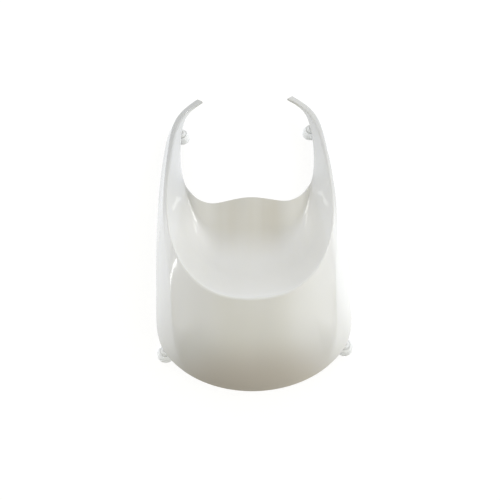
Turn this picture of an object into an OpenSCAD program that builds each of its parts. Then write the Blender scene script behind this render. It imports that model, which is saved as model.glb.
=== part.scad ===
// Open-backed bedpan: a wedge-shaped hollow ring, high at the front and low at its two rear arms,
// with a shallow bowl inside, standing on four suction feet that turn in brackets under the shell.
// Millimetres. +Z is up, -Y is the high front end, and the origin is on the floor under the middle.

/* [Body] */
// Overall width factor of the plan
plan_width_scale = 1.0; // [0.95:0.01:1.05]
// Overall length factor of the plan
plan_length_scale = 1.0; // [0.95:0.01:1.05]
// Thickness of both moulded walls
wall = 2.5; // [2.2:0.1:2.5]
// Thickness of both walls at the tips of the arms
tip_wall = 0.9; // [0.8:0.1:1]
// Rounding of the ridge, where the outer cover meets the bowl, where its angle is wide
ridge_round = 2.9; // [2.9:0.1:3.2]
// Rounding of the sharp shoulder along the arms
shoulder_round = 2.4; // [2.2:0.1:2.6]

/* [Feet] */
// Half the distance between the front feet
front_foot_x = 118.5; // [117:0.5:120]
// Front feet, place along the length
front_foot_y = -172; // [-174:0.5:-170]
// Half the distance between the rear feet
rear_foot_x = 97.5; // [96:0.5:98]
// Rear feet, place along the length
rear_foot_y = 177.5; // [176:0.5:179]
// Radius of the suction cup's lip
cup_r = 12; // [11:0.5:13]
// Radius of the cup's neck, which turns in the bracket
neck_r = 4; // [3.5:0.1:4.2]
// Radial clearance of the neck in its bracket
neck_clearance = 0.05; // [0.02:0.01:0.1]
// Radius of the pin that spreads the cup's head
pin_r = 1.6; // [1.4:0.1:1.8]

/* [Brackets] */
// Underside of the bracket plate above the floor
plate_z = 10.4; // [10.3:0.1:10.6]
// Thickness of the bracket plate
plate_t = 1.8; // [1.6:0.1:2]
// Radius of the plate's round end
plate_r = 7.5; // [7:0.5:8]
// Thickness of the upright rib
rib_t = 4; // [3:0.5:5]

/* [Hidden] */
$fn = 64;

shell_color = [0.93, 0.93, 0.91];
foot_color = [0.80, 0.82, 0.83];
pin_color = [0.88, 0.88, 0.86];

// The right half of each guiding curve, as B-spline control points from the front middle to the arm's tip.
// Lower edge of the outer wall
lower_edge = [
    [0, -236, 16], [49.5, -228.5, 16], [89, -209, 16], [121, -178.5, 16], [132, -145, 16],
    [131.5, -86, 16], [133, -26, 16], [131.5, 37, 16], [130, 81, 16], [124.5, 133, 16],
    [118, 179, 16], [102, 210.5, 16.5], [74.5, 233.5, 20]
];
// Shoulder between the side wall and the sloping top
shoulder = [
    [0, -212, 80], [47, -206, 79.5], [88.5, -191, 57.5], [105.5, -169.5, 50.5], [105.5, -120.5, 79.5],
    [112.5, -59, 74.5], [119.5, 9, 68.5], [118.5, 49, 63], [117, 94.5, 53.5], [113.5, 136, 44],
    [110.5, 176, 35], [98, 208, 28.5], [73.5, 233.5, 22.5]
];
// Ridge, the highest line of every section
ridge = [
    [0, -147.5, 112], [35.5, -143.5, 112], [62.5, -128.5, 109], [86.5, -99, 102], [101.5, -64, 94],
    [110.5, -24.5, 84], [114, 16, 74], [113.5, 54, 66], [111, 94, 56], [108, 135, 46],
    [103, 169, 38.5], [90, 204, 31], [65, 227.5, 24]
];
// Foot of the inner wall, where it turns into the floor of the bowl
floor_line = [
    [0, -38, 15], [29, -38, 15], [51, -30.5, 15], [67, -14, 16], [76.5, 8, 20],
    [82.5, 28, 26], [87, 46, 32], [95.5, 64, 38], [99, 100, 27], [101.5, 135, 25],
    [99.5, 171, 24], [91, 205, 27], [64.7, 227.1, 21.5]
];
// Free edge: the wavy rear lip of the bowl, then the lower edge of the arm's inner wall
free_edge = [
    [0, 43.5, 43], [24, 40.5, 41], [48, 36.5, 37.5], [60, 38, 38], [71.5, 43.5, 38.5],
    [79, 50, 39], [86, 61, 36.5], [91, 74, 30], [96.5, 101, 19], [99.5, 135, 18],
    [97.5, 172, 18], [91.5, 206, 22], [64.6, 227, 20.8]
];

last_station = len(ridge) - 1;
steps_per_station = 3;
half_steps = last_station * steps_per_station;
corner_steps = 4;
floor_steps = 6;

// How far each corner of a section is rounded back, by station: the shoulder, the ridge, which is rounded
// further back where it is sharp so that the walls have room, and the turn from the wall into the bowl's floor
shoulder_setback = [[0, 60], [2, 44], [2.5, 26], [3, 12], [3.5, 5], [6, shoulder_round], [last_station, shoulder_round]];
ridge_setback = [[0, ridge_round], [3, 3.4], [4, 4], [5, 4.8], [5.5, 4.8], [6, 4.2], [7, 3.3], [8, ridge_round]];
wall_setback = [[0, 68], [3, 60], [4, 46], [5, 30], [6, 18], [7, 10], [8, 6], [last_station, 3]];
floor_setback = [[0, 60], [4, 45], [6, 22], [7, 12], [8, 6], [last_station, 3]];

function unit(v) = v / norm(v);

// Uniform cubic B-spline: mirrored about x = 0 at the start and ending on its last control point
function control(points, i) =
    i < 0 ? [-points[1].x, points[1].y, points[1].z]
    : i > last_station ? 2 * points[last_station] - points[last_station - 1]
    : points[i];
function spline(points, t) =
    let (i = min(floor(t), last_station - 1), u = t - i)
    ((1 - u)^3 * control(points, i - 1)
        + (3 * u^3 - 6 * u^2 + 4) * control(points, i)
        + (-3 * u^3 + 3 * u^2 + 3 * u + 1) * control(points, i + 1)
        + u^3 * control(points, i + 2)) / 6;

// Rounding of the corner b between a and c, as steps + 1 points: circular where both setbacks are equal
function half_of(a, b) = 0.48 * norm(a - b);
function rounded(a, b, c, setback_a, setback_c, steps) =
    let (
        p0 = b + setback_a * unit(a - b),
        p2 = b + setback_c * unit(c - b),
        weight = sqrt(max(0, (1 + unit(b - a) * unit(c - b)) / 2))
    )
    [for (k = [0 : steps])
        let (u = k / steps, w0 = (1 - u)^2, w1 = 2 * weight * u * (1 - u), w2 = u^2)
        (w0 * p0 + w1 * b + w2 * p2) / (w0 + w1 + w2)];

// One section at station t, from the lower edge over the ridge to the free edge
function section(t) =
    let (
        a = spline(lower_edge, t), b = spline(shoulder, t), c = spline(ridge, t),
        d = spline(floor_line, t), e = spline(free_edge, t),
        low_back = min(lookup(t, shoulder_setback), 0.9 * norm(a - b)),
        ridge_back = min(lookup(t, ridge_setback), half_of(b, c), half_of(c, d)),
        slope_back = min(lookup(t, shoulder_setback), 0.9 * norm(c - b) - ridge_back),
        wall_back = min(lookup(t, wall_setback), half_of(c, d)),
        floor_back = min(lookup(t, floor_setback), half_of(d, e)),
        at_shoulder = rounded(a, b, c, low_back, slope_back, corner_steps),
        at_ridge = rounded(b, c, d, ridge_back, ridge_back, corner_steps),
        at_floor = rounded(c, d, e, wall_back, floor_back, floor_steps)
    )
    concat(
        [a, (a + at_shoulder[0]) / 2], at_shoulder,
        [(at_shoulder[corner_steps] + at_ridge[0]) / 2], at_ridge,
        [(2 * at_ridge[corner_steps] + at_floor[0]) / 3, (at_ridge[corner_steps] + 2 * at_floor[0]) / 3],
        at_floor, [(at_floor[floor_steps] + e) / 2, e]
    );
ridge_index = 2 + (corner_steps + 1) + 1 + corner_steps / 2;

function scaled(p) = [p.x * plan_width_scale, p.y * plan_length_scale, p.z];
function mirrored(p) = [-p.x, p.y, p.z];

// The whole surface, from the left arm's tip round the front to the right arm's tip
right_half = [for (k = [0 : half_steps]) [for (p = section(k / steps_per_station)) scaled(p)]];
surface = concat(
    [for (k = [half_steps : -1 : 1]) [for (p = right_half[k]) mirrored(p)]],
    right_half
);
rows = len(surface);
columns = len(surface[0]);

// The same surface set back by the wall's thickness
function normal_at(i, j) =
    unit(cross(
        surface[min(i + 1, rows - 1)][j] - surface[max(i - 1, 0)][j],
        surface[i][min(j + 1, columns - 1)] - surface[i][max(j - 1, 0)]
    ));
wall_by_station = [[0, wall], [10, wall], [last_station, tip_wall]];
function wall_at(i) = lookup(abs(i - half_steps) / steps_per_station, wall_by_station);
// It is set back level along the lower edge, which leaves a flat face at the bottom.
function set_back(i, j) =
    let (n = normal_at(i, j))
    surface[i][j] - wall_at(i) * (j == 0 ? [n.x, n.y, 0] / (n.x^2 + n.y^2) : n);
inside = [for (i = [0 : rows - 1]) [for (j = [0 : columns - 1]) set_back(i, j)]];

// The two walls meet in a mitre under the ridge. Points beside it are kept on their own wall's side of it.
mitre_reach = 4;
mitre_gap = 0.03;
function mitre_normal(i) =
    let (
        top = surface[i][ridge_index],
        along = surface[min(i + 1, rows - 1)][ridge_index] - surface[max(i - 1, 0)][ridge_index],
        n = unit(cross(along, inside[i][ridge_index] - top))
    )
    n * sign(n * (surface[i][ridge_index + 1] - surface[i][ridge_index - 1]));
function kept_apart(i, j) =
    let (
        off = j - ridge_index,
        n = mitre_normal(i) * sign(off),
        clear = (inside[i][j] - surface[i][ridge_index]) * n - mitre_gap * abs(off)
    )
    off == 0 || abs(off) > mitre_reach || clear > 0 ? inside[i][j] : inside[i][j] - clear * n;
backing = [for (i = [0 : rows - 1]) [for (j = [0 : columns - 1]) kept_apart(i, j)]];

// A closed sheet between columns j0 and j1 of the surface and its backing
module sheet_solid(j0, j1) {
    n = j1 - j0 + 1;
    points = concat(
        [for (i = [0 : rows - 1]) for (j = [j0 : j1]) surface[i][j]],
        [for (i = [0 : rows - 1]) for (j = [j0 : j1]) backing[i][j]]
    );
    back = rows * n;
    faces = concat(
        [for (i = [0 : rows - 2]) for (j = [0 : n - 2])
            let (a = i * n + j, b = a + n, c = b + 1, d = a + 1)
            each [[a, c, b], [a, d, c], [a + back, b + back, c + back], [a + back, c + back, d + back]]],
        [for (i = [0 : rows - 2])
            let (a = i * n, b = a + n, e = a + n - 1, f = e + n)
            each [[a, b, b + back], [a, b + back, a + back], [e, f + back, f], [e, e + back, f + back]]],
        [for (j = [0 : n - 2])
            let (a = j, b = j + 1, e = (rows - 1) * n + j, f = e + 1)
            each [[a, b + back, b], [a, a + back, b + back], [e, f, f + back], [e, f + back, e + back]]]
    );
    polyhedron(points, faces, convexity = 10);
}

module outer_cover() {
    color(shell_color) sheet_solid(0, ridge_index);
}

module inner_bowl() {
    color(shell_color) sheet_solid(ridge_index, columns - 1);
}

// Bracket: a plate with the neck's bore and an upright rib bonded into the shell.
// It is drawn along +X from the bore's axis; rib lists the rib's outline as [distance, height].
module bracket(rib) {
    reach = max([for (p = rib) p.x]);
    difference() {
        union() {
            translate([0, 0, plate_z]) cylinder(r = plate_r, h = plate_t);
            translate([0, -plate_r, plate_z]) cube([reach, 2 * plate_r, plate_t]);
            translate([0, rib_t / 2, 0]) rotate([90, 0, 0]) linear_extrude(rib_t) polygon(rib);
        }
        translate([0, 0, plate_z - 1]) cylinder(r = neck_r + neck_clearance, h = plate_t + 2);
    }
}

front_rib = [[9, plate_z], [30, plate_z], [30, 66.4], [24, 60.5], [18, 52.2], [9, 34.3]];
rear_rib = [[6, plate_z], [15, plate_z], [15, 18.6], [9, 32.4], [7.5, 33.5], [6, 34]];
front_bracket_angle = 140;
rear_bracket_angle = 16;

module front_bracket() {
    translate([front_foot_x, front_foot_y, 0]) rotate([0, 0, front_bracket_angle]) bracket(front_rib);
}

module rear_bracket() {
    translate([rear_foot_x, rear_foot_y, 0]) rotate([0, 0, rear_bracket_angle]) bracket(rear_rib);
}

module bracket_front_right() {
    color(shell_color) front_bracket();
}

module bracket_front_left() {
    color(shell_color) mirror([1, 0, 0]) front_bracket();
}

module bracket_rear_right() {
    color(shell_color) rear_bracket();
}

module bracket_rear_left() {
    color(shell_color) mirror([1, 0, 0]) rear_bracket();
}

// Suction cup: flat lip, hollow underside, tall round back, neck and a head that holds it in the bracket.
// Its outline and its hollow are lists of [radius, height].
lip_t = 1;
lip_w = 1.6;
back_z = 9.6;
head_z = plate_z + plate_t + 0.1;
head_t = 1.8;
head_r = neck_r + 1.6;
pin_depth = 5;
pin_head_r = 3;
pin_head_t = 0.8;
pin_squeeze = 0.04;

module suction_foot() {
    rotate_extrude() difference() {
        polygon([
            [0, 0], [cup_r, 0], [cup_r, lip_t], [cup_r - 0.2, 3.4], [cup_r - 0.8, 5.6], [cup_r - 1.8, 7.4],
            [cup_r - 3.2, 8.7], [cup_r - 5, back_z - 0.2], [neck_r + 0.7, back_z], [neck_r, back_z + 0.4],
            [neck_r, head_z], [head_r, head_z], [head_r, head_z + 0.8], [head_r - 1, head_z + head_t],
            [0, head_z + head_t]
        ]);
        polygon([
            [0, -1], [cup_r - lip_w, -1], [cup_r - lip_w, 0], [cup_r - 2, 3], [cup_r - 3.2, 5.2],
            [cup_r - 5.6, 6.6], [0, 7]
        ]);
        translate([0, head_z + head_t - pin_depth]) square([pin_r, pin_depth + 1]);
    }
}

module foot_pin() {
    top = head_z + head_t;
    translate([0, 0, top - pin_depth]) cylinder(r = pin_r + pin_squeeze, h = pin_depth);
    translate([0, 0, top]) cylinder(r = pin_head_r, h = pin_head_t);
}

module at_front(side) {
    translate([side * front_foot_x, front_foot_y, 0]) children();
}

module at_rear(side) {
    translate([side * rear_foot_x, rear_foot_y, 0]) children();
}

module suction_foot_front_left() {
    color(foot_color) at_front(-1) suction_foot();
}

module suction_foot_front_right() {
    color(foot_color) at_front(1) suction_foot();
}

module suction_foot_rear_left() {
    color(foot_color) at_rear(-1) suction_foot();
}

module suction_foot_rear_right() {
    color(foot_color) at_rear(1) suction_foot();
}

module foot_pin_front_left() {
    color(pin_color) at_front(-1) foot_pin();
}

module foot_pin_front_right() {
    color(pin_color) at_front(1) foot_pin();
}

module foot_pin_rear_left() {
    color(pin_color) at_rear(-1) foot_pin();
}

module foot_pin_rear_right() {
    color(pin_color) at_rear(1) foot_pin();
}

outer_cover();
inner_bowl();
bracket_front_left();
bracket_front_right();
bracket_rear_left();
bracket_rear_right();
suction_foot_front_left();
suction_foot_front_right();
suction_foot_rear_left();
suction_foot_rear_right();
foot_pin_front_left();
foot_pin_front_right();
foot_pin_rear_left();
foot_pin_rear_right();
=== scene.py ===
"""Open-backed bedpan on suction feet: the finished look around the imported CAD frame.

The shell is lofted again here at high resolution from the same guiding curves as the CAD model, with
rounded edges. Everything is in metres, in the CAD model's frame: +Z up, -Y the high front end.
"""

import math

import bmesh
import bpy
import numpy as np
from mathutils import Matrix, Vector


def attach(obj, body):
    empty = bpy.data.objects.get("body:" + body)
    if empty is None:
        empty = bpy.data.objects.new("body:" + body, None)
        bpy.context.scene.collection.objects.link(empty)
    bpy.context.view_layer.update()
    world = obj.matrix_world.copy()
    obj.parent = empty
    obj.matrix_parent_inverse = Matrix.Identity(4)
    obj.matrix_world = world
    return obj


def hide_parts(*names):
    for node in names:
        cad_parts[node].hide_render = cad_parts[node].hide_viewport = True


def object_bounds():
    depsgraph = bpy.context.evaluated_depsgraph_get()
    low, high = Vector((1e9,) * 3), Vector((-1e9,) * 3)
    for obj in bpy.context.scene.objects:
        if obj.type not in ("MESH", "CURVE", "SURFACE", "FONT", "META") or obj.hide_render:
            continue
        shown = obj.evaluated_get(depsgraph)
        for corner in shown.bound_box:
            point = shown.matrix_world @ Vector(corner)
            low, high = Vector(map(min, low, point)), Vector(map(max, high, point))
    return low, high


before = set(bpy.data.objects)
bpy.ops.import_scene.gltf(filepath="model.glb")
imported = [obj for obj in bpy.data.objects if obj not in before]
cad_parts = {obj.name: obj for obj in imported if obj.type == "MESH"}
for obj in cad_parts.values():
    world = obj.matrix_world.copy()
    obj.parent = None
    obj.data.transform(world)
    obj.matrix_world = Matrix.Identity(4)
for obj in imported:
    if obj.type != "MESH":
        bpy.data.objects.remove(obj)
CAD_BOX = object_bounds()

MM = 0.001
CORNERS = ("front_left", "front_right", "rear_left", "rear_right")

# ---------------------------------------------------------------- guiding curves, in millimetres
# The right half of each curve, as B-spline control points from the front middle to the arm's tip.
LOWER_EDGE = [
    (0, -236, 16), (49.5, -228.5, 16), (89, -209, 16), (121, -178.5, 16), (132, -145, 16),
    (131.5, -86, 16), (133, -26, 16), (131.5, 37, 16), (130, 81, 16), (124.5, 133, 16),
    (118, 179, 16), (102, 210.5, 16.5), (74.5, 233.5, 20),
]
SHOULDER = [
    (0, -212, 80), (47, -206, 79.5), (88.5, -191, 57.5), (105.5, -169.5, 50.5), (105.5, -120.5, 79.5),
    (112.5, -59, 74.5), (119.5, 9, 68.5), (118.5, 49, 63), (117, 94.5, 53.5), (113.5, 136, 44),
    (110.5, 176, 35), (98, 208, 28.5), (73.5, 233.5, 22.5),
]
RIDGE = [
    (0, -147.5, 112), (35.5, -143.5, 112), (62.5, -128.5, 109), (86.5, -99, 102), (101.5, -64, 94),
    (110.5, -24.5, 84), (114, 16, 74), (113.5, 54, 66), (111, 94, 56), (108, 135, 46),
    (103, 169, 38.5), (90, 204, 31), (65, 227.5, 24),
]
FLOOR_LINE = [
    (0, -38, 15), (29, -38, 15), (51, -30.5, 15), (67, -14, 16), (76.5, 8, 20),
    (82.5, 28, 26), (87, 46, 32), (95.5, 64, 38), (99, 100, 27), (101.5, 135, 25),
    (99.5, 171, 24), (91, 205, 27), (64.7, 227.1, 21.5),
]
FREE_EDGE = [
    (0, 43.5, 43), (24, 40.5, 41), (48, 36.5, 37.5), (60, 38, 38), (71.5, 43.5, 38.5),
    (79, 50, 39), (86, 61, 36.5), (91, 74, 30), (96.5, 101, 19), (99.5, 135, 18),
    (97.5, 172, 18), (91.5, 206, 22), (64.6, 227, 20.8),
]
LAST_STATION = len(RIDGE) - 1

# Wall thickness by station
WALL = [(0, 2.5), (10, 2.5), (LAST_STATION, 0.9)]
RIDGE_ROUND = 2.9
SHOULDER_ROUND = 2.4
# How far each corner of a section is rounded back, by station: the shoulder, the ridge, and the turn
# from the wall into the bowl's floor
SHOULDER_SETBACK = [
    (0, 60), (2, 44), (2.5, 26), (3, 12), (3.5, 5), (6, SHOULDER_ROUND), (LAST_STATION, SHOULDER_ROUND),
]
RIDGE_SETBACK = [
    (0, RIDGE_ROUND), (3, 3.4), (4, 4), (5, 4.8), (5.5, 4.8), (6, 4.2), (7, 3.3), (8, RIDGE_ROUND),
]
WALL_SETBACK = [(0, 68), (3, 60), (4, 46), (5, 30), (6, 18), (7, 10), (8, 6), (LAST_STATION, 3)]
FLOOR_SETBACK = [(0, 60), (4, 45), (6, 22), (7, 12), (8, 6), (LAST_STATION, 3)]

STEPS_PER_STATION = 12
CORNER_STEPS = 10
FILL_STEPS = 10
# The rounded free edges: radius, and its share at most of the wall and of the first column's step
EDGE_ROUND = 0.8
EDGE_STEPS = 5
EDGE_OF_WALL = 0.45
EDGE_OF_STEP = 0.8
# How much of a side one rounding may use where two share it, and where it has the side to itself
SHARED_SIDE = 0.48
WHOLE_SIDE = 0.9
# Edges that turn by more than this stay sharp
CREASE_ANGLE = math.radians(35)


# ---------------------------------------------------------------- the shell's surface
def spline(points, t):
    """Uniform cubic B-spline: mirrored about x = 0 at its start, ending on its last control point."""
    p = np.array(points, float)
    before = p[1] * (-1, 1, 1)
    after = 2 * p[-1] - p[-2]
    p = np.vstack([before, p, after, after])
    i = np.minimum(t.astype(int), LAST_STATION - 1)
    u = (t - i)[:, None]
    return (
        (1 - u) ** 3 * p[i]
        + (3 * u**3 - 6 * u**2 + 4) * p[i + 1]
        + (-3 * u**3 + 3 * u**2 + 3 * u + 1) * p[i + 2]
        + u**3 * p[i + 3]
    ) / 6


def unit(v):
    """The vectors v at length 1."""
    return v / np.maximum(np.linalg.norm(v, axis=-1, keepdims=True), 1e-12)


def shared_length(a, b):
    """The length that one of two roundings may use of each side from a to b."""
    return SHARED_SIDE * np.linalg.norm(a - b, axis=1)


def rounded(a, b, c, setback_a, setback_c, steps):
    """Rounding of the corner b between a and c, as a list of steps + 1 columns of points."""
    p0 = b + setback_a[:, None] * unit(a - b)
    p2 = b + setback_c[:, None] * unit(c - b)
    cosine = (unit(b - a) * unit(c - b)).sum(1, keepdims=True)
    weight = np.sqrt(np.maximum(0, (1 + cosine) / 2))
    columns = []
    for k in range(steps + 1):
        u = k / steps
        w0, w1, w2 = (1 - u) ** 2, 2 * weight * u * (1 - u), u**2
        columns.append((w0 * p0 + w1 * b + w2 * p2) / (w0 + w1 + w2))
    return columns


def between(a, b, steps):
    """The columns of points strictly between a and b."""
    return [a + (b - a) * k / steps for k in range(1, steps)]


def half_surface(t):
    """The sections at stations t as an array [section, column, xyz], and the ridge's column."""
    a, b, c, d, e = (spline(g, t) for g in (LOWER_EDGE, SHOULDER, RIDGE, FLOOR_LINE, FREE_EDGE))
    shoulder_back = np.interp(t, *zip(*SHOULDER_SETBACK))
    low_back = np.minimum(shoulder_back, WHOLE_SIDE * np.linalg.norm(a - b, axis=1))
    ridge_back = np.interp(t, *zip(*RIDGE_SETBACK))
    ridge_back = np.minimum(ridge_back, np.minimum(shared_length(b, c), shared_length(c, d)))
    slope_back = np.minimum(shoulder_back, WHOLE_SIDE * np.linalg.norm(c - b, axis=1) - ridge_back)
    wall_back = np.minimum(np.interp(t, *zip(*WALL_SETBACK)), shared_length(c, d))
    floor_back = np.minimum(np.interp(t, *zip(*FLOOR_SETBACK)), shared_length(d, e))
    at_shoulder = rounded(a, b, c, low_back, slope_back, CORNER_STEPS)
    at_ridge = rounded(b, c, d, ridge_back, ridge_back, CORNER_STEPS)
    at_floor = rounded(c, d, e, wall_back, floor_back, 2 * CORNER_STEPS)
    columns = [a, *between(a, at_shoulder[0], FILL_STEPS), *at_shoulder]
    columns += between(at_shoulder[-1], at_ridge[0], FILL_STEPS)
    ridge_column = len(columns) + CORNER_STEPS // 2
    columns += [*at_ridge, *between(at_ridge[-1], at_floor[0], FILL_STEPS), *at_floor]
    columns += [*between(at_floor[-1], e, FILL_STEPS), e]
    return np.stack(columns, axis=1), ridge_column


def whole_surface():
    """Surface and backing from the left arm's tip round the front to the right arm's tip."""
    t = np.linspace(0, LAST_STATION, LAST_STATION * STEPS_PER_STATION + 1)
    right, ridge_column = half_surface(t)
    left = right[:0:-1] * (-1, 1, 1)
    surface = np.concatenate([left, right])
    along = np.gradient(surface, axis=0)
    across = np.gradient(surface, axis=1)
    normal = unit(np.cross(along, across))
    stations = np.concatenate([t[:0:-1], t])
    wall = np.interp(stations, *zip(*WALL))[:, None]
    backing = surface - wall[:, None] * normal
    # The backing of the lower edge is level with it
    level = normal[:, 0] * (1, 1, 0)
    backing[:, 0] = surface[:, 0] - wall * level / (level**2).sum(1, keepdims=True)
    # The finer ridge stays below the top of the CAD model
    surface[..., 2] = np.minimum(surface[..., 2], CAD_BOX[1][2] / MM)
    return surface, backing, ridge_column


def rounded_edge(s, b, step):
    """Columns that round the free edge between the surface s and the backing b, within one step."""
    across = unit(b - s)
    inward = unit(step)
    thickness = np.linalg.norm(b - s, axis=1)
    reach = np.linalg.norm(step, axis=1)
    r = np.minimum(EDGE_ROUND, np.minimum(EDGE_OF_WALL * thickness, EDGE_OF_STEP * reach))[:, None]
    angles = [math.pi / 2 * k / EDGE_STEPS for k in range(EDGE_STEPS + 1)]
    outer = [s + across * r * (1 - math.cos(a)) + inward * r * (1 - math.sin(a)) for a in angles]
    inner = [b - across * r * (1 - math.sin(a)) + inward * r * (1 - math.cos(a)) for a in angles]
    return outer + inner


def sheet_rings(surface, backing, free_first):
    """Closed rings of points round each section of one moulding: surface, edge, backing, edge."""
    if not free_first:
        surface, backing = surface[:, ::-1], backing[:, ::-1]
    edge = rounded_edge(surface[:, 0], backing[:, 0], surface[:, 1] - surface[:, 0])
    columns = edge + [backing[:, j] for j in range(1, backing.shape[1])]
    columns += [surface[:, j] for j in range(surface.shape[1] - 1, 0, -1)]
    rings = np.stack(columns, axis=1)
    return rings if free_first else rings[:, ::-1]


def loft(name, rings):
    """A closed mesh object from rings of points, in millimetres."""
    rows, n = rings.shape[:2]
    faces = []
    for i in range(rows - 1):
        for j in range(n):
            k = (j + 1) % n
            faces.append((i * n + j, i * n + k, (i + 1) * n + k, (i + 1) * n + j))
    return mesh_object(name, (rings.reshape(-1, 3) * MM).tolist(), faces)


def mesh_object(name, points, faces):
    """A smooth-shaded object in the scene."""
    mesh = bpy.data.meshes.new(name)
    mesh.from_pydata(points, [], faces)
    mesh.validate()
    mesh.update()
    obj = bpy.data.objects.new(name, mesh)
    bpy.context.scene.collection.objects.link(obj)
    for polygon in mesh.polygons:
        polygon.use_smooth = True
    return obj


def shell_piece(name, node, surface, backing, free_first):
    """One moulding of the shell: side strips plus a quad cap across each arm's tip."""
    rings = sheet_rings(surface, backing, free_first)
    piece = loft(name, rings)
    cap_tips(piece, rings.shape[0], rings.shape[1])
    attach(piece, "pan")
    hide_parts(node)
    return piece


def cap_tips(piece, rows, n):
    """Closes the first and last rings with faces that join each point to the one facing it."""
    bm = bmesh.new()
    bm.from_mesh(piece.data)
    bm.verts.ensure_lookup_table()
    for start in (0, (rows - 1) * n):
        ring = [bm.verts[start + j] for j in range(n)]
        low, high = 0, n - 1
        while high - low > 2:
            bm.faces.new((ring[low], ring[low + 1], ring[high - 1], ring[high]))
            low += 1
            high -= 1
        if high - low == 2:
            bm.faces.new((ring[low], ring[low + 1], ring[high]))
    bmesh.ops.recalc_face_normals(bm, faces=bm.faces)
    for edge in bm.edges:
        if len(edge.link_faces) == 2 and edge.calc_face_angle() > CREASE_ANGLE:
            edge.smooth = False
    bm.to_mesh(piece.data)
    bm.free()


surface, backing, ridge = whole_surface()
cover = shell_piece(
    "outer_cover_skin", "outer_cover", surface[:, : ridge + 1], backing[:, : ridge + 1], True
)
bowl = shell_piece("inner_bowl_skin", "inner_bowl", surface[:, ridge:], backing[:, ridge:], False)


# ---------------------------------------------------------------- materials
# Colours painted in for light and shade: painted shade with reflection streaks along the bottom of the
# bowl, painted highlights in the corners beside it, painted shade at the foot of the skirt and towards
# the arms' tips
BOWL_PAINTED_SHADE = (0.76, 0.73, 0.665)
CORNER_PAINTED_HIGHLIGHT = (0.98, 0.975, 0.965)
SKIRT_PAINTED_SHADE = (0.77, 0.725, 0.68)
ARM_PAINTED_SHADE = (0.63, 0.64, 0.655)


def new_material(name, base, roughness):
    """A material with its node tree and shader."""
    material = bpy.data.materials.new(name)
    material.use_nodes = True
    shader = material.node_tree.nodes["Principled BSDF"]
    shader.inputs["Base Color"].default_value = (*base, 1)
    shader.inputs["Roughness"].default_value = roughness
    return material, material.node_tree, shader


def noise(tree, scale, detail=2.0, stretch=(1, 1, 1)):
    """A noise texture in object coordinates, scale in cycles per metre."""
    place = tree.nodes.new("ShaderNodeTexCoord")
    mapping = tree.nodes.new("ShaderNodeMapping")
    mapping.inputs["Scale"].default_value = stretch
    texture = tree.nodes.new("ShaderNodeTexNoise")
    texture.inputs["Scale"].default_value = scale
    texture.inputs["Detail"].default_value = detail
    tree.links.new(place.outputs["Object"], mapping.inputs["Vector"])
    tree.links.new(mapping.outputs["Vector"], texture.inputs["Vector"])
    return texture.outputs["Fac"]


def ranged(tree, value, low, high):
    """Maps the 0.3 to 0.7 range of a value to low to high, and keeps it within them."""
    node = tree.nodes.new("ShaderNodeMapRange")
    node.inputs["From Min"].default_value = 0.3
    node.inputs["From Max"].default_value = 0.7
    node.inputs["To Min"].default_value = low
    node.inputs["To Max"].default_value = high
    tree.links.new(value, node.inputs["Value"])
    return node.outputs["Result"]


def smooth_step(tree, value, start, end):
    """0 below start, 1 above end, smooth between."""
    node = tree.nodes.new("ShaderNodeMapRange")
    node.interpolation_type = "SMOOTHSTEP"
    node.inputs["From Min"].default_value = start
    node.inputs["From Max"].default_value = end
    tree.links.new(value, node.inputs["Value"])
    return node.outputs["Result"]


def calculate(tree, operation, first, second):
    """A Math node on two sockets or numbers."""
    node = tree.nodes.new("ShaderNodeMath")
    node.operation = operation
    for socket, value in zip(node.inputs, (first, second)):
        if isinstance(value, (int, float)):
            socket.default_value = value
        else:
            tree.links.new(value, socket)
    return node.outputs["Value"]


def bump(tree, shader, height, distance, normal=None):
    """Bumps the shader's surface by up to distance, in metres, on top of the given normal."""
    node = tree.nodes.new("ShaderNodeBump")
    node.inputs["Distance"].default_value = distance
    node.inputs["Strength"].default_value = 1.0
    tree.links.new(height, node.inputs["Height"])
    if normal is not None:
        tree.links.new(normal, node.inputs["Normal"])
    tree.links.new(node.outputs["Normal"], shader.inputs["Normal"])
    return node.outputs["Normal"]


def colour_mix(tree, shader, value, dark, light):
    """Varies the shader's base colour from dark to light with the value."""
    ramp = tree.nodes.new("ShaderNodeValToRGB")
    ramp.color_ramp.elements[0].position = 0.35
    ramp.color_ramp.elements[0].color = (*dark, 1)
    ramp.color_ramp.elements[1].position = 0.65
    ramp.color_ramp.elements[1].color = (*light, 1)
    tree.links.new(value, ramp.inputs["Fac"])
    tree.links.new(ramp.outputs["Color"], shader.inputs["Base Color"])


def tint(tree, shader, share, colour):
    """Mixes a colour into the shader's base colour by the given share."""
    unpainted = shader.inputs["Base Color"].links[0].from_socket
    mix = tree.nodes.new("ShaderNodeMix")
    mix.data_type = "RGBA"
    mix.inputs["B"].default_value = (*colour, 1)
    tree.links.new(unpainted, mix.inputs["A"])
    tree.links.new(share, mix.inputs["Factor"])
    tree.links.new(mix.outputs["Result"], shader.inputs["Base Color"])


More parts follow.
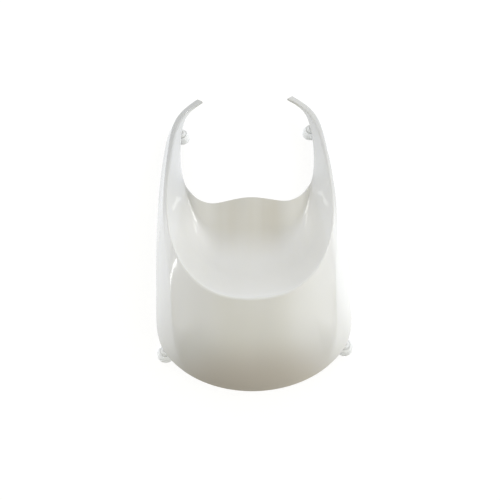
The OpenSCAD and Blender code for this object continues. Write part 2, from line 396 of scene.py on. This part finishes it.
def paint_light_and_shade(tree, shader):
    """Paints shade with dark reflection streaks on the bottom of the bowl, highlights in its corners, and
    shade at the skirt's foot and on the arms.
    """
    place = tree.nodes.new("ShaderNodeTexCoord")
    split = tree.nodes.new("ShaderNodeSeparateXYZ")
    tree.links.new(place.outputs["Object"], split.inputs["Vector"])
    x, y, z = (split.outputs[axis] for axis in "XYZ")

    def both(first, second):
        return calculate(tree, "MULTIPLY", first, second)

    off_centre = calculate(tree, "ABSOLUTE", x, 0.0)
    across = smooth_step(tree, off_centre, 0.075, 0.02)
    along = smooth_step(tree, y, -0.075, 0.03)
    deep = smooth_step(tree, z, 0.075, 0.035)
    # Painted shade on the bottom of the bowl, broken by painted dark reflection streaks that run front to
    # back
    reflection_streaks = ranged(tree, noise(tree, 45, 1.5, (1, 0.12, 0.12)), 0.45, 1.0)
    tint(tree, shader, both(both(across, along), both(deep, reflection_streaks)), BOWL_PAINTED_SHADE)
    # Painted highlight: lighter colour in the folds where the bowl's floor meets the arms' walls
    corners = both(smooth_step(tree, off_centre, 0.04, 0.065), smooth_step(tree, off_centre, 0.1, 0.08))
    tint(tree, shader, both(both(corners, along), deep), CORNER_PAINTED_HIGHLIGHT)
    # Painted shade: darker, warmer colour at the foot of the skirt
    tint(tree, shader, smooth_step(tree, y, -0.18, -0.228), SKIRT_PAINTED_SHADE)
    # Painted shade: greyer colour towards the tips of the arms, stronger on the left arm
    shade_more_on_left = ranged(tree, smooth_step(tree, x, 0.03, -0.03), 0.6, 1.0)
    tint(tree, shader, both(smooth_step(tree, y, -0.05, 0.16), shade_more_on_left), ARM_PAINTED_SHADE)


def shell_material():
    """Glossy warm-white moulded plastic with a faint waviness, a little variation in gloss and painted
    light and shade.
    """
    material, tree, shader = new_material("shell_gloss_plastic", (0.84, 0.84, 0.825), 0.2)
    shader.inputs["IOR"].default_value = 1.5
    shader.inputs["Subsurface Weight"].default_value = 0.06
    shader.inputs["Subsurface Radius"].default_value = (0.003, 0.003, 0.002)
    shader.inputs["Coat Weight"].default_value = 0.7
    shader.inputs["Coat Roughness"].default_value = 0.015
    colour_mix(tree, shader, noise(tree, 14, 3), (0.865, 0.865, 0.855), (0.88, 0.88, 0.875))
    paint_light_and_shade(tree, shader)
    tree.links.new(ranged(tree, noise(tree, 60, 4), 0.16, 0.26), shader.inputs["Roughness"])
    waves = bump(tree, shader, noise(tree, 9, 1.0), 0.0006)
    bump(tree, shader, noise(tree, 900, 2), 0.000008, normal=waves)
    return material


def bracket_material():
    """Matt, light plastic."""
    material, tree, shader = new_material("bracket_plastic", (0.9, 0.91, 0.93), 0.45)
    colour_mix(tree, shader, noise(tree, 40, 3), (0.88, 0.895, 0.92), (0.93, 0.945, 0.965))
    tree.links.new(ranged(tree, noise(tree, 200, 3), 0.38, 0.55), shader.inputs["Roughness"])
    bump(tree, shader, noise(tree, 2500, 3), 0.00004)
    return material


def suction_material():
    """Milky translucent silicone, with a faint painted glow that lightens the cups."""
    material, tree, shader = new_material("suction_cup_silicone", (0.93, 0.94, 0.94), 0.3)
    shader.inputs["IOR"].default_value = 1.42
    shader.inputs["Transmission Weight"].default_value = 0.15
    shader.inputs["Subsurface Weight"].default_value = 0.3
    shader.inputs["Subsurface Radius"].default_value = (0.006, 0.006, 0.006)
    # Painted glow: the cups give off a faint light of their own, which lightens them
    shader.inputs["Emission Color"].default_value = (0.96, 0.98, 1, 1)
    shader.inputs["Emission Strength"].default_value = 0.13
    colour_mix(tree, shader, noise(tree, 150, 3), (0.91, 0.93, 0.955), (0.94, 0.955, 0.98))
    tree.links.new(ranged(tree, noise(tree, 400, 3), 0.25, 0.38), shader.inputs["Roughness"])
    bump(tree, shader, noise(tree, 900, 2), 0.00001)
    return material


def pin_material():
    """Matt plastic, a shade darker than the brackets."""
    material, tree, shader = new_material("foot_pin_plastic", (0.86, 0.87, 0.89), 0.4)
    colour_mix(tree, shader, noise(tree, 300, 3), (0.84, 0.85, 0.875), (0.89, 0.90, 0.925))
    tree.links.new(ranged(tree, noise(tree, 900, 3), 0.33, 0.5), shader.inputs["Roughness"])
    bump(tree, shader, noise(tree, 3000, 2), 0.00003)
    return material


SHELL = shell_material()
BRACKET = bracket_material()
SUCTION = suction_material()
PIN = pin_material()


def dress(obj, material):
    """Gives the object this one material."""
    obj.data.materials.clear()
    obj.data.materials.append(material)


dress(cover, SHELL)
dress(bowl, SHELL)
for corner in CORNERS:
    dress(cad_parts["bracket_" + corner], BRACKET)
    dress(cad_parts["suction_foot_" + corner], SUCTION)
    dress(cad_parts["foot_pin_" + corner], PIN)


# ---------------------------------------------------------------- floor, light and camera
FLOOR_REACH = 40.0
FLOOR_GLOW = 0.8


def make_floor():
    """A plain white floor."""
    corners = [(-1, -1, 0), (1, -1, 0), (1, 1, 0), (-1, 1, 0)]
    points = [(x * FLOOR_REACH, y * FLOOR_REACH, z) for x, y, z in corners]
    floor = mesh_object("studio_floor", points, [(0, 1, 2, 3)])
    material, _, shader = new_material("studio_floor", (0.3, 0.3, 0.3), 0.9)
    shader.inputs["Specular IOR Level"].default_value = 0.1
    shader.inputs["Emission Color"].default_value = (1, 1, 1, 1)
    shader.inputs["Emission Strength"].default_value = FLOOR_GLOW
    floor.data.materials.append(material)
    # The floor shows, but the object is lit and mirrored by the world's dome alone
    floor.visible_diffuse = False
    floor.visible_glossy = False
    floor.visible_shadow = False


# The studio's dome: how bright it is, what each side and the white floor add, and the shares that are
# lost low on the left, overhead and in the dark room low down in front, less of the last on the right
DOME = 0.73
DOME_LEFT = 0.36
DOME_RIGHT = 0.8
DOME_BELOW = 0.5
DOME_BELOW_LEFT_LOSS = 0.5
DOME_OVERHEAD_LOSS = 0.16
DOME_FRONT_LOSS = 0.98
DOME_RIGHT_SPARED = 0.5
# Dark beams across the ceiling, as the x of the direction to each and half its width
BEAMS = ((-0.34, 0.07), (-0.09, 0.06), (0.14, 0.1))
BEAM_LOSS = 0.5
COOL = (0.975, 0.99, 1.0, 1)
WARM = (1.0, 0.95, 0.73, 1)


def make_dome():
    """A world that is bright and cool at the sides and behind, warm and dark low down in front."""
    world = bpy.data.worlds.new("studio")
    world.use_nodes = True
    tree = world.node_tree
    direction = tree.nodes.new("ShaderNodeTexCoord")
    split = tree.nodes.new("ShaderNodeSeparateXYZ")
    tree.links.new(direction.outputs["Generated"], split.inputs["Vector"])
    x, y, z = (split.outputs[axis] for axis in "XYZ")

    def times(*factors):
        product = factors[0]
        for factor in factors[1:]:
            product = calculate(tree, "MULTIPLY", product, factor)
        return product

    def without(share):
        return calculate(tree, "SUBTRACT", 1.0, share)

    above = smooth_step(tree, z, -0.35, 0.2)
    left = times(smooth_step(tree, x, -0.3, -0.95), above, DOME_LEFT)
    right = times(smooth_step(tree, x, 0.25, 0.9), above, DOME_RIGHT)
    low_left = times(smooth_step(tree, x, -0.1, -0.35), smooth_step(tree, z, -0.4, -0.65))
    dim_left = times(low_left, DOME_BELOW_LEFT_LOSS)
    below = times(smooth_step(tree, z, -0.25, -0.65), without(dim_left), DOME_BELOW)
    bright = DOME
    for part in (left, right, below):
        bright = calculate(tree, "ADD", part, bright)
    in_front = smooth_step(tree, y, 0.05, -0.6)
    low = smooth_step(tree, z, 0.6, -0.1)
    spared = times(smooth_step(tree, x, -0.1, 0.8), DOME_RIGHT_SPARED)
    strength = times(bright, without(times(in_front, low, without(spared), DOME_FRONT_LOSS)))
    strength = times(strength, without(times(smooth_step(tree, z, 0.6, 0.95), DOME_OVERHEAD_LOSS)))
    overhead = smooth_step(tree, z, 0.3, 0.95)
    for centre, half_width in BEAMS:
        off_centre = calculate(tree, "ABSOLUTE", calculate(tree, "SUBTRACT", x, centre), 0.0)
        beam = smooth_step(tree, off_centre, half_width, 0.3 * half_width)
        strength = times(strength, without(times(beam, overhead, BEAM_LOSS)))
    mix = tree.nodes.new("ShaderNodeMix")
    mix.data_type = "RGBA"
    mix.inputs["A"].default_value = COOL
    mix.inputs["B"].default_value = WARM
    sideways = smooth_step(tree, calculate(tree, "ABSOLUTE", x, 0.0), 0.3, 0.85)
    tree.links.new(times(smooth_step(tree, y, 0.5, -0.35), without(sideways)), mix.inputs["Factor"])
    background = tree.nodes["Background"]
    tree.links.new(mix.outputs["Result"], background.inputs["Color"])
    tree.links.new(strength, background.inputs["Strength"])
    bpy.context.scene.world = world


# Rectangular lights: the point where each one's mirror image is seen, the direction from there to the
# light, its distance, its width and height, and its radiance
WINDOWS = {
    # Tall windows on both sides behind, mirrored along the ridge and in the folds of the bowl
    "window_right": ((-0.085, 0.05, 0.032), (0.645, 0.504, 0.52), 1.0, (0.09, 0.3), 7.0),
    "window_left": ((0.085, 0.05, 0.032), (-0.671, 0.470, 0.52), 1.0, (0.08, 0.3), 5.5),
    # Low windows, mirrored in the side of the skirt and in both inner walls
    "window_low_left": ((-0.104, -0.08, 0.085), (-0.93, 0.24, -0.22), 0.6, (0.06, 0.13), 6.0),
    "glint_left": ((-0.103, 0.028, 0.058), (0.69, 0.66, -0.29), 0.6, (0.012, 0.014), 1.6),
    "glint_right": ((0.103, 0.026, 0.059), (-0.69, 0.67, -0.27), 0.6, (0.012, 0.014), 1.6),
}


def make_windows():
    """The rectangular lights, each facing the point where it is mirrored."""
    for name, (seen_at, direction, distance, size, radiance) in WINDOWS.items():
        data = bpy.data.lights.new(name, "AREA")
        data.shape = "RECTANGLE"
        data.size, data.size_y = size
        data.energy = radiance * math.pi * size[0] * size[1]
        light = bpy.data.objects.new(name, data)
        bpy.context.scene.collection.objects.link(light)
        light.location = Vector(seen_at) + distance * Vector(direction).normalized()
        light.rotation_euler = (Vector(seen_at) - light.location).to_track_quat("-Z", "Y").to_euler()
        light.visible_camera = False


# Photographic set-up: the distance, height angle and slight turn of the camera
CAMERA_DISTANCE = 1.15
CAMERA_ELEVATION = math.radians(62)
CAMERA_TURN = math.radians(1.2)
CAMERA_ROLL = math.radians(1.0)
CAMERA_TARGET = Vector((-0.002, -0.046, 0.05))
# Width of the view at the target, in metres
VIEW_WIDTH = 0.675


def make_camera():
    """The camera at the photographic angle, rolled about its own axis."""
    data = bpy.data.cameras.new("camera")
    data.sensor_width = 36
    data.lens = data.sensor_width * CAMERA_DISTANCE / VIEW_WIDTH
    data.clip_start, data.clip_end = 0.05, 30
    camera = bpy.data.objects.new("camera", data)
    bpy.context.scene.collection.objects.link(camera)
    level = math.cos(CAMERA_ELEVATION)
    forward = Vector(
        (math.sin(CAMERA_TURN) * level, math.cos(CAMERA_TURN) * level, -math.sin(CAMERA_ELEVATION))
    )
    camera.location = CAMERA_TARGET - forward * CAMERA_DISTANCE
    turned = forward.to_track_quat("-Z", "Y").to_matrix()
    right, up = turned.col[0], turned.col[1]
    rolled_right = math.cos(CAMERA_ROLL) * right - math.sin(CAMERA_ROLL) * up
    rolled_up = math.sin(CAMERA_ROLL) * right + math.cos(CAMERA_ROLL) * up
    turned.col[0], turned.col[1] = rolled_right, rolled_up
    camera.rotation_mode = "QUATERNION"
    camera.rotation_quaternion = turned.to_quaternion()
    bpy.context.scene.camera = camera


make_floor()
make_dome()
make_windows()
make_camera()
bpy.context.scene.view_settings.view_transform = "Standard"
